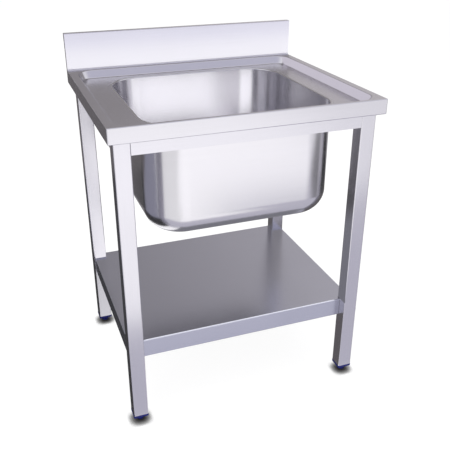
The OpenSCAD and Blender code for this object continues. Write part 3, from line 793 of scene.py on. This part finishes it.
# The level cards that face up: x from and to, y from and to, height and colour
LEG_INSIDE = LEG_LOW.x - NOTCH_GAP
SHELF_CARD_Z = SHELF_HIGH.z + 0.5 * MM
TOP_CARD_Z = TOP_Z + 2 * MM
UPSTAND_CARD_Y = UPSTAND_Y - 8 * MM
LEVEL_CARDS = {
    "card_left": (-6, -0.337, -0.3, 14, CARD_Z, CARD_DARK),
    "card_left_side": (-3.5, -1.0, -0.29, 1.2, CARD_Z_TOP, CARD_DUSK),
    "card_left_near": (-1.0, -0.337, -0.3, 1.6, CARD_Z_OVER, CARD_BLACK),
    "card_behind": (-0.25, 0.36, 0.15, 0.9, CARD_Z, CARD_DARK),
    "card_behind_left": (-0.337, -0.25, 0.24, 0.9, CARD_Z, CARD_DARK),
    "card_far": (-0.337, 8, 0.9, 14, CARD_Z, CARD_GREY),
    # Under the part a dark card stands in for its shade: a painted dark reflection in the undersides
    "card_under": (-0.1, 0.36, -0.25, 0.15, CARD_Z, CARD_DARK),
    "card_right": (0.36, 8, -0.3, 0.9, CARD_Z, CARD_DARK),
    "card_right_side": (1.5, 3.0, -0.2, 0.88, CARD_Z_TOP, CARD_BLACK),
    "card_front": (-1.0, 1.8, -0.75, -0.3, CARD_Z, CARD_LAVENDER),
    "card_front_right": (0.35, 1.3, -1.5, -0.75, CARD_Z, CARD_LAVENDER),
    "card_corner_right": (1.3, 3.0, -1.6, -0.3, CARD_Z_OVER, CARD_SHADE),
    "card_pool": (-0.4, 0.25, -1.6, -0.75, CARD_Z, CARD_BRIGHT),
    "card_front_far": (-0.8, 1.3, -3.8, -1.6, CARD_Z, CARD_WHITE),
    "card_right_far": (1.3, 3.0, -3.8, -1.6, CARD_Z, CARD_PALE),
    "card_shelf_left": (-0.329, -0.2, -0.232, 0.232, SHELF_CARD_Z, CARD_BRIGHT),
    "card_shelf": (-0.2, LEG_INSIDE, -0.3, 0.245, SHELF_CARD_Z, CARD_SLATE),
    "card_top_back": (-0.5, 0.8, -0.06, UPSTAND_CARD_Y, TOP_CARD_Z, CARD_SNOW),
    "card_top_front": (-0.5, 0.8, -0.6, -0.06, TOP_CARD_Z, CARD_ICE),
}

# The cards that stand and face the front: x from and to, y, height from and to, and colour
REAR_LEG_CARD_Y = REAR_LEG_LOW.y - 1 * MM
UPSTAND_CARD_TOP = SHEET_HIGH.z + 30 * MM
FRONT_CARDS = {
    "card_upstand": (SHEET_LOW.x, SHEET_HIGH.x, UPSTAND_CARD_Y, TOP_CARD_Z, UPSTAND_CARD_TOP, BEHIND_LEFT),
    "card_leg_left_high": (-LEG_HIGH.x, -LEG_LOW.x, REAR_LEG_CARD_Y, 0.4, 0.79, CARD_DARK),
    "card_leg_left_low": (-LEG_HIGH.x, -LEG_LOW.x, REAR_LEG_CARD_Y, 0.255, 0.4, BEHIND_LEFT),
    "card_leg_right_low": (LEG_LOW.x, LEG_HIGH.x, REAR_LEG_CARD_Y, 0.255, 0.5, BEHIND_LEFT),
}

# The cards that stand and face the right: x, y from and to, height from and to, and colour
SLOPE_CARD_X = SHEET_HIGH.x - EDGE_SIDE - RECESS_RUN - 2 * MM
BOWL_CARD_X = BOWL_LOW.x + 13 * MM
SIDE_CARDS = {
    "card_slope": (SLOPE_CARD_X, -0.28, UPSTAND_CARD_Y, FLOOR_Z + 1 * MM, UPSTAND_CARD_TOP, CARD_ROSE),
    "card_bowl": (BOWL_CARD_X, -0.08, 0.14, 0.6, 0.72, CARD_LILAC),
}

# The strip over the shelf's front edge, which faces down: a painted highlight along the fold of that edge
EDGE_CARD_X = LEG_INSIDE - 10 * MM
EDGE_CARD_Y = (SHELF_LOW.y - 25 * MM, SHELF_LOW.y + 10 * MM)
EDGE_CARD_Z = SHELF_HIGH.z + 14 * MM


def build_cards():
    """The cards that give the steel its darker and paler sides: painted reflections of shade and light."""
    for name, (x0, x1, y0, y1, z, colour) in LEVEL_CARDS.items():
        studio_card(name, [(x0, y0, z), (x1, y0, z), (x1, y1, z), (x0, y1, z)], colour)
    for name, (x0, x1, y, z0, z1, colour) in FRONT_CARDS.items():
        studio_card(name, [(x0, y, z0), (x1, y, z0), (x1, y, z1), (x0, y, z1)], colour)
    for name, (x, y0, y1, z0, z1, colour) in SIDE_CARDS.items():
        studio_card(name, [(x, y0, z0), (x, y1, z0), (x, y1, z1), (x, y0, z1)], colour)
    x, z = EDGE_CARD_X, EDGE_CARD_Z
    y0, y1 = EDGE_CARD_Y
    # A white card over the shelf's front edge: a painted highlight line along its fold
    studio_card("card_shelf_edge", [(-x, y0, z), (-x, y1, z), (x, y1, z), (x, y0, z)], CARD_WHITE)


def build_camera():
    """The photograph's camera."""
    data = bpy.data.cameras.new("photo_camera")
    data.lens = CAMERA_LENS
    data.sensor_width = CAMERA_SENSOR
    camera = bpy.data.objects.new("photo_camera", data)
    camera.location = CAMERA_PLACE
    camera.rotation_euler = Euler((math.pi / 2 - CAMERA_LOOK_DOWN, 0, -CAMERA_TURN_RIGHT))
    bpy.context.scene.collection.objects.link(camera)
    bpy.context.scene.camera = camera


def main():
    """Dresses the frame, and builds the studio."""
    bpy.context.scene.view_settings.view_transform = "Standard"
    build_camera()
    build_pieces(build_materials())
    build_world()
    build_floor()
    build_canopy()
    build_lamps()
    build_cards()


main()
